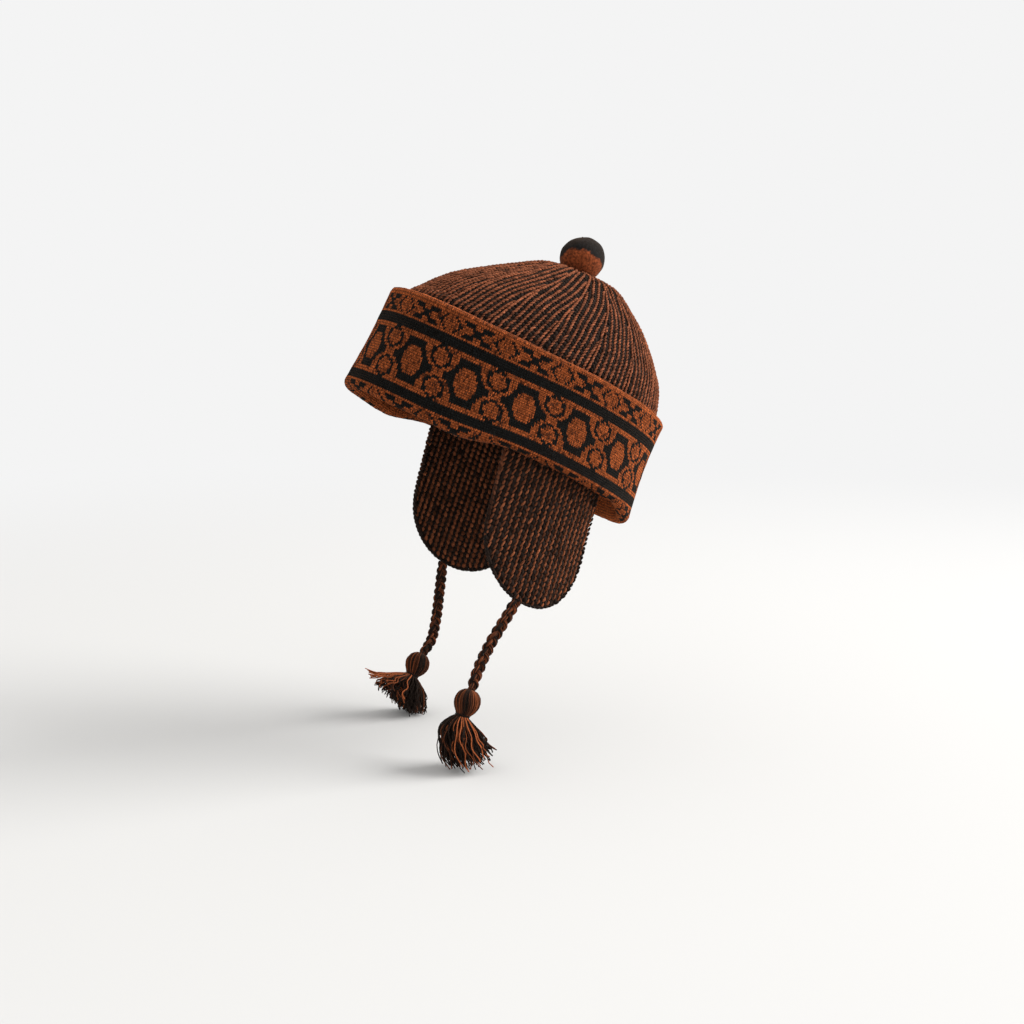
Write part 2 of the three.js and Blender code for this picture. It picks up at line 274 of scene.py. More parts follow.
def closeMaterial(tree, values, black, rust, rim, strength, looks):
    # The two colours are mixed by "rust" and dimmed by "light", and "height" gives a fine relief.
    colours = {"Factor": values["rust"], "A": linear(black), "B": linear(rust)}
    mixed = addNode(tree, "ShaderNodeMix", colours, data_type="RGBA").outputs["Result"]
    lit = {0: mixed, "Scale": values["light"]}
    colour = addNode(tree, "ShaderNodeVectorMath", lit, operation="SCALE")
    relief = {"Height": values["height"], "Strength": strength, "Distance": wool["bump"] * mm}
    normal = addNode(tree, "ShaderNodeBump", relief)
    sheen = {"Sheen Weight": wool["fuzz"], "Sheen Tint": linear(rim)}
    inputs = {**looks, **sheen, "Base Color": colour, "Normal": normal}
    shader = addNode(tree, "ShaderNodeBsdfPrincipled", inputs)
    addNode(tree, "ShaderNodeOutputMaterial", {"Surface": shader})


def woolMaterial(name, rust, black, mottle=0.35, grain=0.45, rows=0.0):
    # Spun wool: a matt yarn with stray fibres, so it has no gloss, a soft light rim and a broken fine grain.
    material, tree = newMaterial(name)
    place = addNode(tree, "ShaderNodeTexCoord").outputs["Object"]
    values = {
        label: addNode(tree, "ShaderNodeAttribute", attribute_name=label).outputs["Fac"]
        for label in ("rust", "shade", "row", "proud")
    }
    for label, scale, detail, rough in (
        ("blotch", 160.0, 3.0, 0.5),
        ("fleck", 1 / (2.2 * grain * mm), 3.0, 0.6),
        ("height", 1 / (grain * mm), 2.0, 0.7),
    ):
        inputs = {"Vector": place, "Scale": scale, "Detail": detail, "Roughness": rough}
        values[label] = addNode(tree, "ShaderNodeTexNoise", inputs)
    steps = [
        ("flecked", "MULTIPLY_ADD", "fleck", 6 * mottle, 1 - 3 * mottle),
        ("speckle", "MAXIMUM", "flecked", 0.1),
        ("clouded", "MULTIPLY_ADD", "blotch", 0.5, 0.75),
        ("tone", "MULTIPLY", "clouded", "speckle"),
        ("brightness", "ADD", "shade", 1.0),
        ("light", "MULTIPLY", "tone", "brightness"),
    ]
    if rows:
        # Between rows and between stitches the yarn dips: painted shade darkens its colour there, and its
        # relief deepens.
        steps += [
            ("turned", "MULTIPLY", "row", math.pi),
            ("wave", "SINE", "turned"),
            ("arch", "ABSOLUTE", "wave"),
            ("bulge", "MULTIPLY", "arch", "proud"),
            # Painted shade: the colour is dimmed where the yarn dips between rows and stitches.
            ("paintedValleyShade", "MULTIPLY_ADD", "bulge", 1.25, 0.3),
            ("light", "MULTIPLY", "light", "paintedValleyShade"),
            ("height", "MULTIPLY_ADD", "bulge", rows, "height"),
        ]
    addSteps(tree, values, steps)
    looks = {"Roughness": 0.95, "Specular IOR Level": 0.08, "Sheen Roughness": 0.5}
    closeMaterial(tree, values, black, rust, wool["rim"], 0.8, looks)
    return material


# The jacquard wool paints shade between its rows and between its stitches.
knitWool = woolMaterial("jacquard wool", wool["rust"], wool["black"], rows=1.0)
ribWool = woolMaterial("rib wool", wool["rustDusty"], wool["blackWarm"], mottle=0.45)
# The flaps' rust is the same yarn darkened as painted shade under the cuff.
flapWool = woolMaterial("flap wool", wool["rustShadedFlap"], wool["blackWarm"], mottle=0.45)
yarnWool = woolMaterial("plied wool yarn", wool["rustYarn"], wool["blackWarm"], grain=0.3)

# Geometry Nodes trees

# A loop's sizes, in the order of the pieces' dictionaries. The first four are lengths, in millimetres there:
# "Sink" is how far its ends go down. "Lean" is in radians.
loopSizes = {
    **dict.fromkeys(("Loop Length", "Loop Width", "Loop Height", "Sink", "Lean", "Uneven"), "Float"),
    **dict.fromkeys(("Sides", "Rings"), "Int"),
}


def newTree(name, sockets):
    tree = bpy.data.node_groups.new(name, "GeometryNodeTree")
    for label, kind in {"Geometry": "Geometry", **sockets, "Material": "Material"}.items():
        tree.interface.new_socket(label, in_out="INPUT", socket_type="NodeSocket" + kind)
    tree.interface.new_socket("Geometry", in_out="OUTPUT", socket_type="NodeSocketGeometry")
    return tree, addNode(tree, "NodeGroupInput").outputs


def closeTree(tree, given, geometry):
    real = addNode(tree, "GeometryNodeRealizeInstances", {"Geometry": geometry})
    dressed = addNode(tree, "GeometryNodeSetMaterial", {"Geometry": real, "Material": given["Material"]})
    addNode(tree, "NodeGroupOutput", {0: dressed})
    return tree


def grown(source, tree, name, material, values):
    # Runs a tree on a source object, and keeps its result as a plain mesh.
    modifier = source.modifiers.new(name, "NODES")
    modifier.node_group = tree
    identifiers = {s.name: s.identifier for s in tree.interface.items_tree if s.in_out == "INPUT"}
    for label, value in {**values, "Material": material}.items():
        modifier[identifiers[label]] = value
    graph = bpy.context.evaluated_depsgraph_get()
    done = source.evaluated_get(graph)
    mesh = bpy.data.meshes.new_from_object(done, preserve_all_data_layers=True, depsgraph=graph)
    mesh.name = name
    source.modifiers.clear()
    bpy.data.objects.remove(source)
    mesh.polygons.foreach_set("use_smooth", [True] * len(mesh.polygons))
    return placed(name, mesh)


def stitchTree():
    # Loops of yarn laid on points: "along" and "out" say how each one lies.
    tree, given = newTree("loops on ribs", {**loopSizes, "Seed": "Int"})
    facets = {"Segments": given["Sides"], "Rings": given["Rings"], "Radius": 0.5}
    ball = addNode(tree, "GeometryNodeMeshUVSphere", facets)
    size = {"X": given["Loop Width"], "Y": given["Loop Height"], "Z": given["Loop Length"]}
    scaled = {"Geometry": ball, "Scale": addNode(tree, "ShaderNodeCombineXYZ", size)}
    loop = addNode(tree, "GeometryNodeTransform", scaled)
    place = addNode(tree, "GeometryNodeInputPosition")
    wander = {2: -0.12, 3: 0.12, "Seed": given["Seed"]}
    values = {label: given[label] for label in loopSizes}
    values["z"] = addNode(tree, "ShaderNodeSeparateXYZ", {0: place}).outputs["Z"]
    values["wander"] = addNode(tree, "FunctionNodeRandomValue", wander, data_type="FLOAT").outputs[1]
    steps = [
        ("share", "DIVIDE", "z", "Loop Length"),
        ("square", "MULTIPLY", "share", "share"),
        ("drop", "MULTIPLY", "square", "Sink"),
        ("down", "MULTIPLY", "drop", -4.0),
        ("lean", "ADD", "Lean", "wander"),
        ("less", "SUBTRACT", 1.0, "Uneven"),
        ("more", "ADD", 1.0, "Uneven"),
    ]
    addSteps(tree, values, steps)
    shift = addNode(tree, "ShaderNodeCombineXYZ", {"Y": values["down"]})
    bent = addNode(tree, "GeometryNodeSetPosition", {"Geometry": loop, "Offset": shift})
    along, outward = (
        addNode(tree, "GeometryNodeInputNamedAttribute", {"Name": label}, data_type="FLOAT_VECTOR")
        for label in ("along", "out")
    )
    turned = {"Vector": along, "Axis": outward, "Angle": values["lean"]}
    leant = addNode(tree, "ShaderNodeVectorRotate", turned, rotation_type="AXIS_ANGLE")
    align = "FunctionNodeAlignRotationToVector"
    lay = addNode(tree, align, {"Vector": leant}, axis="Z")
    roll = addNode(tree, align, {"Rotation": lay, "Vector": outward}, axis="Y", pivot_axis="Z")
    span = {0: values["less"], 1: values["more"], "Seed": given["Seed"]}
    scale = addNode(tree, "FunctionNodeRandomValue", span, data_type="FLOAT_VECTOR")
    lie = {"Points": given["Geometry"], "Instance": bent, "Rotation": roll, "Scale": scale}
    return closeTree(tree, given, addNode(tree, "GeometryNodeInstanceOnPoints", lie))


def yarnTree():
    # Yarn along lines of vertices: "thick" is each point's share of the yarn's width.
    tree, given = newTree("yarn along lines", {"Yarn Width": "Float", "Sides": "Int"})
    lines = addNode(tree, "GeometryNodeMeshToCurve", {"Mesh": given["Geometry"]})
    half = addNode(tree, "ShaderNodeMath", {0: given["Yarn Width"], 1: 0.5}, operation="MULTIPLY")
    facets = {"Resolution": given["Sides"], "Radius": half}
    ring = addNode(tree, "GeometryNodeCurvePrimitiveCircle", facets)
    thick = addNode(tree, "GeometryNodeInputNamedAttribute", {"Name": "thick"}, data_type="FLOAT")
    sized = addNode(tree, "GeometryNodeSetCurveRadius", {"Curve": lines, "Radius": thick})
    inputs = {"Curve": sized, "Profile Curve": ring, "Scale": thick, "Fill Caps": True}
    tube = addNode(tree, "GeometryNodeCurveToMesh", inputs)
    return closeTree(tree, given, tube)


stitches = stitchTree()
yarns = yarnTree()


def layLoops(name, lie, material, seed, loop):
    # lie has the loops' places, their directions along and outward, their rust and their shade.
    places, along, outward, rust, shade = lie
    values = {"along": toRowDirections(along), "out": toRowDirections(outward), "rust": rust, "shade": shade}
    source = meshPiece(name + "_places", toRow(places), [], material, values)
    sizes = {label: size * (mm if k < 4 else 1) for k, (label, size) in enumerate(zip(loopSizes, loop))}
    return grown(source, stitches, name, material, {**sizes, "Seed": seed})


def toRowDirections(vectors):
    return unit(toRow(vectors) - np.array(hat["origin"]))


def layYarn(name, lines, material, width, sides):
    # lines are (points, rust, shade, thick) with the points in the whole model's frame.
    points = np.concatenate([line[0] for line in lines])
    spread = {
        key: np.concatenate([np.broadcast_to(np.asarray(line[k], float), len(line[0])) for line in lines])
        for k, key in ((1, "rust"), (2, "shade"), (3, "thick"))
    }
    counts = [len(line[0]) for line in lines]
    starts = np.cumsum([0] + counts[:-1])
    edges = [(s + k, s + k + 1) for s, n in zip(starts, counts) for k in range(n - 1)]
    source = meshPiece(name + "_lines", points, [], material, spread, edges=edges)
    return grown(source, yarns, name, material, {"Yarn Width": width * mm, "Sides": sides})


# Cuff: 15 repeats of 24 stitches round, knitted in two colours

cuff = {
    "height": 69, "wall": 5,
    "flare": (1.5, 3, 4),  # how far the fold stands out at the sides, and more in front and behind
    "stand": 2, "foreheadDrop": 5.5, "napeDrop": 5, "earRise": 2.4, "browRise": 5, "napeSag": 5,
    "crownTuck": 54, "crownWall": 3.5, "gap": 0.3, "stitches": 360, "repeat": 24, "rowHeight": 1.59,
    "evenRows": 48, "rows": 61, "rowsInside": 4,
    "phase": -1.7,  # in stitches
    "slant": 0.165,  # stitches that a column moves round in each row
    "middleRow": 24.5,
    "browStretch": 3.6,  # taller rows at the forehead
    "browRust": 1.8,  # plain rust added under the hem at the forehead
    "floats": 0.15, "zigzag": 0.3, "ridge": 0.34, "valley": -0.2,
    "waves": ((0.35, 3, 9, 14), (0.15, 4, 60, 3)),  # height, seed, waves round, length down
    "unevenShade": 0.28,
}

ovalOuter = [5, 5, 5, 6, 6, 7, 8, 10, 10, 10, 8, 7, 6, 6, 5, 5, 5]
ovalInner = [0, 0, 0, 3, 4, 4, 5, 5, 5, 5, 5, 4, 4, 3, 0, 0, 0]
# Black stitches of the small flowers between the ovals, as steps from the line midway between them.
flowerRows = {-2: [0, 1], -1: [1, 2], 0: [3, 4], 1: [3, 4], 2: [4], 3: [4], 4: [3, 4], 5: [2, 3], 6: [0, 1]}
# Half of the narrow strip's motif, from the line midway between the ovals to an oval's middle.
stripRows = [
    "..#...#####..",
    "...#...####..",
    "....#.....###",
    "....##.....##",
    "....#.....###",
    "...#...####..",
    "..#...#####..",
]


def patternChart():
    # 1 is rust and 0 is black, for each row of one repeat from the hem down.
    repeat = cuff["repeat"]
    aside = np.abs(np.arange(repeat) - repeat // 2)
    between = repeat // 2 - aside
    rust, black = np.ones(repeat), np.zeros(repeat)
    strip = [np.array([float(text[k] != "#") for k in between]) for text in stripRows]
    zone = []
    for r in range(-2, len(ovalOuter) + 2):
        row = rust.copy()
        if 0 <= r < len(ovalOuter):
            row[aside < ovalOuter[r]] = 0
            row[aside < ovalInner[r]] = 1
        row[np.isin(between, flowerRows.get(min(r, len(ovalOuter) - 1 - r), []))] = 0
        zone.append(row)
    rows = [rust] * 3 + strip + [rust] + [black] * 4 + zone + [black] * 4 + [rust] + strip
    return np.array(rows + [rust] * (cuff["rows"] - len(rows)))


cuffWhole = cuff["crownWall"] + cuff["gap"] + cuff["wall"]  # from the crown's inside to the cuff's outside
cuffHem, cuffFold = cuff["wall"] / 2, cuffWhole / 2  # how round its crest and its foot are


def cuffFoot(turn):
    forehead = smoothstep(-np.sin(turn), 0.15, 0.55)
    nape = smoothstep(np.sin(turn), 0.7, 1)
    low = cuff["foreheadDrop"] * forehead + cuff["napeDrop"] * nape
    return -cuff["height"] - low + cuff["earRise"] * (1 - forehead) * (1 - nape)


def cuffPath(turn, run, raised):
    # A point of the section: run goes from the hem's crest down the outside, round the fold and up the lip.
    foot = cuffFoot(turn)
    hemRun = cuffHem * math.pi / 2
    straight = -foot - cuffFold - cuffHem
    past = run - hemRun - straight
    bend = np.clip(past / cuffFold, 0, math.pi)
    crest = np.clip(run, -hemRun, hemRun) / cuffHem
    falling = np.clip(run - hemRun, 0, straight)
    rising = np.maximum(past - cuffFold * math.pi, 0)
    out = cuffWhole - cuffHem + (cuffHem + raised) * np.sin(crest)
    up = (cuffHem + raised) * np.cos(crest) - cuffHem + np.minimum(run + hemRun, 0) - falling
    out = np.where(past > 0, cuffFold + (cuffFold + raised) * np.cos(bend), out)
    up = np.where(past > 0, foot + cuffFold - (cuffFold + raised) * np.sin(bend) + rising, up)
    return out, up


def cuffPlace(turn, out, up):
    side, front, back = cuff["flare"]
    flare = side + front * toFront(turn) + back * toBack(turn)
    depth = np.clip(-up / cuff["height"], 0, 1)
    stand = cuff["stand"] * toBack(turn) * (1 - depth) ** 2
    return oval(turn, out + flare * depth**2 + stand, up + cuffShift(turn))


def makeCuff():
    columns = cuff["stitches"] * 4
    part = np.arange(columns) % 4
    first, last = -cuff["rowsInside"], cuff["rows"]
    knitted = np.arange(first, last + 1)[:, None]
    zig = np.array([-1, 0, 1, 0])[part] * cuff["zigzag"]
    row = knitted + np.where((knitted > first) & (knitted < last), zig, 0)
    stitch = np.arange(columns) / 4 + cuff["phase"]
    turn = turnAt((stitch + cuff["slant"] * (knitted - cuff["middleRow"])) / cuff["stitches"])
    lipTop = -cuff["crownTuck"] - cuff["gap"]
    total = cuffHem * (math.pi / 2 - 1) + cuffFold * (math.pi - 2) + lipTop - 2 * cuffFoot(turn)
    even = cuff["evenRows"] * cuff["rowHeight"]
    share = (row - cuff["evenRows"]) / (last - cuff["evenRows"])
    run = np.where(row < cuff["evenRows"], row * cuff["rowHeight"], even + share * (total - even))
    brow = cuff["browRust"] * smoothstep(-np.sin(turn), 0, 0.8) * np.clip(row / 3, 0, 1)
    brow = brow + cuff["browStretch"] * smoothstep(-np.sin(turn), 0.08, 0.74) * np.clip((row - 12) / 24, 0, 1)
    run = run + brow * np.clip(1 - share, 0, 1)
    # Ridges and valleys of each leg; proud and the row number also tell the wool where to paint shade in the
    # dips.
    ridge = np.where(part % 2 == 1, cuff["ridge"], cuff["valley"])
    proud = np.where(part % 2 == 1, 1.0, 0.25)
    wave = sum(high * ripple(seed, turn * often, run / down) for high, seed, often, down in cuff["waves"])
    out, up = cuffPath(turn, run, ridge + wave)
    knit = cuffPlace(turn, out, up)
    # The part that can't be seen, between the cuff and the crown, is left plain.
    inside = cuffWhole - cuff["wall"]
    gap = cuff["gap"]
    hidden = ((gap, lipTop), (cuff["crownWall"], lipTop), (inside, lipTop + gap), (inside, lipTop / 2))
    plain = []
    for k, (o, u) in enumerate(hidden):
        hiddenTurn = turn[-1] + (turn[0] - turn[-1]) * (k + 1) / (len(hidden) + 1)
        plain.append(cuffPlace(hiddenTurn, np.full(columns, o), np.full(columns, u)))
    points = np.concatenate([knit, np.array(plain)])
    rows = len(points)
    chart = patternChart()
    rust = np.ones((rows, columns))
    rust[-first : -first + len(chart)] = chart[:, np.arange(columns) // 4 % cuff["repeat"]]
    # Here and there a strand of the dark yarn, carried behind, shows between two stitches.
    draw = np.random.default_rng(11)
    plainRows = np.zeros((rows, 1))
    plainRows[-first : -first + len(chart)] = (chart.mean(1) > 0.99)[:, None] * 0.6
    aside = np.abs(np.arange(columns) // 4 % cuff["repeat"] - cuff["repeat"] // 2)
    chance = cuff["floats"] * (1 - plainRows) * np.where(aside < 6, 0.45, 1)[None, :]
    floats = np.repeat(draw.random((rows, columns // 2)), 2, axis=1) < chance
    rust = np.where(floats, np.minimum(rust, 0.25), rust)
    shade = np.repeat(draw.normal(0, cuff["unevenShade"], (rows, cuff["stitches"] * 2)), 2, axis=1)
    rowValue = np.repeat(np.concatenate([knitted[:, 0], np.zeros(len(plain))]), columns)
    faces = gridFaces(rows, columns, True, True)
    looks = {"row": rowValue, "proud": np.tile(proud, rows)}, {"rust": rust.ravel(), "shade": shade.ravel()}
    fit(meshPiece("cuff_knit", toRow(points), faces, knitWool, *looks), "cuff_knit", "cuff")


# Crown: ribs that run to the top in eight gores, where they are decreased in pairs

# The crown's rings from its hidden foot to its top, as shares of its sizes.
crownRings = {
    "up": [-1, -0.5, 0, 0.145, 0.29, 0.435, 0.58, 0.72, 0.85, 0.95, 0.99, 0.985, 0.955, 0.93, 0.92],
    "back": [0, 0.005, 0.025, 0.048, 0.07, 0.08, 0.1, 0.115, 0.115, 0.115, 0.1, 0.08, 0.072, 0.07, 0.07],
    "length": [1, 0.995, 0.975, 0.935, 0.877, 0.79, 0.68, 0.56, 0.43, 0.32, 0.22, 0.15, 0.095, 0.05, 0],
    "width": [1, 0.998, 0.985, 0.945, 0.885, 0.8, 0.69, 0.56, 0.425, 0.305, 0.205, 0.145, 0.09, 0.048, 0],
    "lean": [0, 0, 0, 0, 0, 0.005, 0.01, 0.015, 0.02, 0.022, 0.018, 0.008, 0.002, 0, 0],
}
crown = {
    "height": 69, "tuck": 54, "wall": 3.5, "goreDepth": 2.2, "goreMiddle": 0.6, "goreSpread": 0.2,
    "lines": 16,  # where ribs are decreased
    "ribs": 8,  # between two lines at the cuff
    "firstLine": -0.049,  # of the way round
    "twist": 9, "pitch": 4.2,
    "span": (0.1, 0.8),  # where the ribs start and end, as shares of the rings' table
    "ground": 1.55,  # how deep the dark ground lies
    "innerWave": 0.35, "unevenShade": 0.28, "lineShade": 0.22,
    # Gap between two loops along a rib, their depth, room at a line, seed and sizes.
    "rust": (2.7, 0.55, 0.42, 22, (4.3, 1.5, 1.8, 0.3, -0.4, 0.22, 5, 4)),
    "dark": (3.3, 1.25, 0.3, 21, (4.0, 2.7, 1.7, 0.5, 0.35, 0.22, 6, 5)),
}


def alongRings(share, size):
    # A smooth run through a row of the rings' table: share 0 is its start.
    values = np.array(crownRings[size], float)
    last = len(values) - 1
    where = np.clip(share, 0, 1) * last
    k = np.minimum(np.floor(where).astype(int), last - 1)
    w = where - k
    before, a, b, after = (values[np.clip(k + step, 0, last)] for step in (-1, 0, 1, 2))
    m0, m1 = (b - before) / 2, (after - a) / 2
    return (2 * a - 2 * b + m0 + m1) * w**3 + (-3 * a + 3 * b - 2 * m0 - m1) * w**2 + m0 * w + a


def crownPoint(turn, share):
    halfLength = hat["headLength"] / 2 + crown["wall"]
    halfWidth = hat["headWidth"] / 2 + crown["wall"]
    up, back, length, width, lean = (alongRings(share, size) for size in crownRings)
    line = (1 - np.abs(np.cos(hat["gores"] * turn / 2))) ** 2
    crease = crown["goreDepth"] * line * np.exp(-(((share - crown["goreMiddle"]) / crown["goreSpread"]) ** 2))
    inward = 1 - crease / (halfWidth * np.maximum(width, 0.1))
    x = halfWidth * width * inward * np.cos(turn)
    y = halfLength * (back + length * inward * np.sin(turn))
    z = up * np.where(up < 0, crown["tuck"], crown["height"])
    z = z + cuffShift(turn) * np.clip(1 - up, 0, 1) + lean * crown["height"] * np.sin(turn)
    return np.stack(np.broadcast_arrays(x, y, z), -1)


def crownNormal(turn, share):
    small = 1e-3
    around = crownPoint(turn + small, share) - crownPoint(turn - small, share)
    high, low = np.minimum(share + small, 0.999), np.maximum(share - small, 0)
    above = crownPoint(turn, high) - crownPoint(turn, low)
    return unit(np.cross(around, above))


def ribsBetween(share):
    # How many ribs there are between two lines at that height.
    turn = np.linspace(0, math.tau, 73)
    ring = crownPoint(turn[None, :], np.atleast_1d(share)[:, None])
    around = np.linalg.norm(np.diff(ring, axis=1), axis=-1).sum(1)
    return np.minimum(around / crown["lines"] / crown["pitch"], crown["ribs"])


def ribTurn(line, step, share):
    # Ribs are counted from the line before them, and lean a little as spun yarn makes them do.
    lean = crown["twist"] * np.clip((share - 0.2) / 0.4, 0, 1.2) ** 2
    return turnAt(crown["firstLine"] + (line + step) / crown["lines"]) + np.radians(lean)


def spaced(points, gap, start):
    # Where along a line the loops lie, as numbers between its points.
    run = lengthAlong(points)
    return np.interp(np.arange(start, run[-1], gap), run, np.arange(len(points)))


def between(values, at, run=None):
    # A list's numbers or points at places between its entries.
    run = np.arange(len(values)) if run is None else run
    if values.ndim == 1:
        return np.interp(at, run, values)
    return np.stack([np.interp(at, run, column) for column in values.T], -1)


def makeCrown():
    columns = crown["ribs"] * crown["lines"] * 6
    outerShares = np.linspace(0.02, 0.93, 30)[:, None]
    innerShares = np.linspace(0.93, 0.02, 64)[:, None]
    step = np.arange(columns) / columns * crown["lines"]
    outerTurn, innerTurn = ribTurn(0, step, outerShares), ribTurn(0, step, innerShares)
    outer = crownPoint(outerTurn, outerShares) - crown["ground"] * crownNormal(outerTurn, outerShares)
    count = ribsBetween(innerShares[:, 0])[:, None]
    # Inside, the dark yarn stands proud between the rust ribs.
    wave = -np.cos(math.tau * ((step % 1 - 0.5) * count - 0.25))
    depth = crown["wall"] - crown["innerWave"] * (1 + wave)
    inner = crownPoint(innerTurn, innerShares) - depth[..., None] * crownNormal(innerTurn, innerShares)
    points = np.concatenate([outer, inner])
    rust = np.concatenate([np.zeros(outer.shape[:2]), smoothstep(-wave, -0.2, 0.5)])
    faces = gridFaces(len(points), columns, True, True)
    values = {"rust": rust.ravel(), "shade": np.zeros(rust.size)}
    fit(meshPiece("crown_knit", toRow(points), faces, ribWool, values), "crown_knit", "crown")

    draw = np.random.default_rng(5)
    shares = np.linspace(*crown["span"], 220)
    counts = ribsBetween(shares)
    ribs = {"rust": [], "dark": []}
    for line in range(crown["lines"]):
        for k in range(2 * crown["ribs"]):
            kind = "dark" if k % 2 else "rust"
            gap, depth, room, seed, loop = crown[kind]
            aside = k / 2 - crown["ribs"] / 2 + 0.25  # uneven, so that ribs end at a line by turns
            kept = np.abs(aside) < counts / 2 - room
            if k == 0:  # the line itself is a rust rib that runs all the way up
                aside, kept = -counts / 2, counts > 0
            if kept.sum() < 8:
                continue
            turns = ribTurn(line, 0.5 + aside / counts, shares)[kept]
            at = spaced(crownPoint(turns, shares[kept]), gap, draw.uniform(0.5, gap))
            ribs[kind].append((turns, shares[kept], at, 0 if k else crown["lineShade"]))
    for kind, lines in ribs.items():
        gap, depth, room, seed, loop = crown[kind]
        parts = []
        for turns, ups, at, brighter in lines:
            turn, up = between(turns, at), between(ups, at)
            normal, here = crownNormal(turn, up), crownPoint(turn, up)
            along = unit(crownPoint(between(turns, at + 0.5), between(ups, at + 0.5)) - here)
            shade = draw.normal(brighter, crown["unevenShade"], len(here))
            rust = np.full(len(here), float(kind == "rust"))
            parts.append((here - depth * normal, along, normal, rust, shade))
        lie = map(np.concatenate, zip(*parts))
        fit(layLoops(f"crown_{kind}_ribs", lie, ribWool, seed, loop), "crown_knit")


# Ear flaps

flap = {
    "width": 87, "drop": 88, "lap": 14, "wall": 4, "turn": 13, "hang": 15, "clear": 0.6,
    "pitch": 4.45, "ribs": 19, "ribLean": 0.09, "border": 0.9, "loopGap": 3.9, "edgeGap": 3.3,
    "inset": 1.1, "ground": 1.35, "unevenShade": 0.3,
    # Depth in the wall as a share, start and rust at the front of the two chains round the edge.
    "chains": ((0.3, 1.0, 0.55), (0.72, 2.6, 0.05)),
    "ribLoop": (4.7, 1.6, 1.8, 0.45, -0.4, 0.24, 6, 5),
    "furrowLoop": (4.7, 2.9, 1.8, 0.45, 0.3, 0.24, 6, 5),
    "edgeLoop": (4.6, 2.3, 2.4, 0.45, 0.6, 0.24, 6, 5),
}


flapStraight = flap["lap"] + flap["drop"] - flap["width"] / 2  # down to where its round end starts
flapLean = math.radians(hat["tilt"] - flap["hang"])
flapDown = np.array([0, math.sin(flapLean), -math.cos(flapLean)])


def flapReach(x):
    return flapStraight + np.sqrt(np.maximum((flap["width"] / 2) ** 2 - x**2, 0))


def flapTurn(x):
    return math.radians(flap["turn"]) + x / (hat["headLength"] / 2)


def flapPlace(x, down, depth):
    base = oval(flapTurn(x), -flap["clear"] - depth, flap["lap"] - cuff["height"])
    return base + np.asarray(down)[..., None] * flapDown


def flapNormal(x):
    return unit(oval(flapTurn(x), 1, 0) - oval(flapTurn(x), 0, 0))


def makeFlap(side, sign):
    mirror = np.array([sign, 1, 1])
    draw = np.random.default_rng(31 + sign)
    # A dark slab a little smaller than the flap fills it; it is a fifth darker than the yarn, as painted
    # shade between the loops.
    columns, rows = 40, 44
    across = np.sin((np.linspace(0, 1, columns) - 0.5) * math.pi)
    half = flap["width"] / 2 - flap["inset"]
    down = np.linspace(0, 1, rows)[:, None] * (flapStraight + half * np.sqrt(1 - across**2))
    x = np.broadcast_to(across * half, down.shape)
    skins = [flapPlace(x, down, depth) for depth in (flap["ground"], flap["wall"] - flap["ground"])]
    points = np.concatenate([skin.reshape(-1, 3) for skin in skins])
    front = gridFaces(rows, columns, False)
    corners = np.arange(rows * columns).reshape(rows, columns)
    outline = np.concatenate([corners[0], corners[1:, -1], corners[-1, -2::-1], corners[-2:0:-1, 0]])
    after = np.roll(outline, -1)
    rim = np.stack([after, outline, outline + rows * columns, after + rows * columns], -1)
    faces = np.concatenate([front, front[:, ::-1] + rows * columns, rim])
    values = {"rust": np.zeros(len(points)), "shade": np.full(len(points), -0.2)}
    slab = meshPiece(f"flap_{side}_knit", toRow(points * mirror), faces, flapWool, values)
    fit(slab, "flap_knit", f"ear_flap_{side}")

    groups = {}
    for face, facing in (("outer", 1), ("inner", -1)):
        for k in range(-4, 2 * flap["ribs"] + 5):
            isRust = k % 2 == 1
            proud = isRust == (face == "outer")
            start = 2.0 + draw.uniform(0, flap["loopGap"])
            downs = np.arange(start, flap["lap"] + flap["drop"], flap["loopGap"])
            xs = (k - flap["ribs"]) / 2 * flap["pitch"] - flap["ribLean"] * (downs - 50)
            inside = (np.abs(xs) < half) & (downs < flapReach(xs) - 1.9)
            xs, downs = xs[inside], downs[inside]
            depth = 0.75 if proud else 1.25
            places = flapPlace(xs, downs, depth if facing > 0 else flap["wall"] - depth)
            along = np.tile(-flapDown, (len(xs), 1))
            group = groups.setdefault((face, "rib" if proud else "furrow"), [])
            group.append((places, along, flapNormal(xs) * facing, np.full(len(xs), float(isRust))))
    # The edge is two chains of dark loops, with some rust along the front.
    angle = np.linspace(-math.pi / 2, math.pi / 2, 400)
    edgeX = np.concatenate([np.full(200, -half), half * np.sin(angle), np.full(200, half)])
    rising, falling = np.linspace(flapStraight, 4, 200), np.linspace(4, flapStraight, 200)
    edgeDown = np.concatenate([falling, flapStraight + half * np.cos(angle), rising])
    for depth, start, rusty in flap["chains"]:
        line = flapPlace(edgeX, edgeDown, flap["wall"] * depth)
        at = spaced(line, flap["edgeGap"], start)
        here = between(line, at)
        along = unit(between(line, at + 0.5) - here)
        outline = unit(np.cross(along, flapNormal(between(edgeX, at))))
        beyond = outline * np.sign((outline * (here - line.mean(0))).sum(-1, keepdims=True))
        rust = rusty * smoothstep(-at, -230, -120)
        groups.setdefault(("", "edge"), []).append((here + flap["border"] * beyond, along, beyond, rust))
    for (face, kind), parts in groups.items():
        places, along, outward, rust = map(np.concatenate, zip(*parts))
        shade = draw.normal(0, flap["unevenShade"], len(places))
        lie = (places * mirror, along * mirror, outward * mirror, rust, shade)
        name = f"flap_{side}_{face}_{kind}s" if face else f"flap_{side}_{kind}"
        fit(layLoops(name, lie, flapWool, 41 + sign, flap[kind + "Loop"]), "flap_knit")


# Ties: flat braids of three strands, each of ten plied yarns

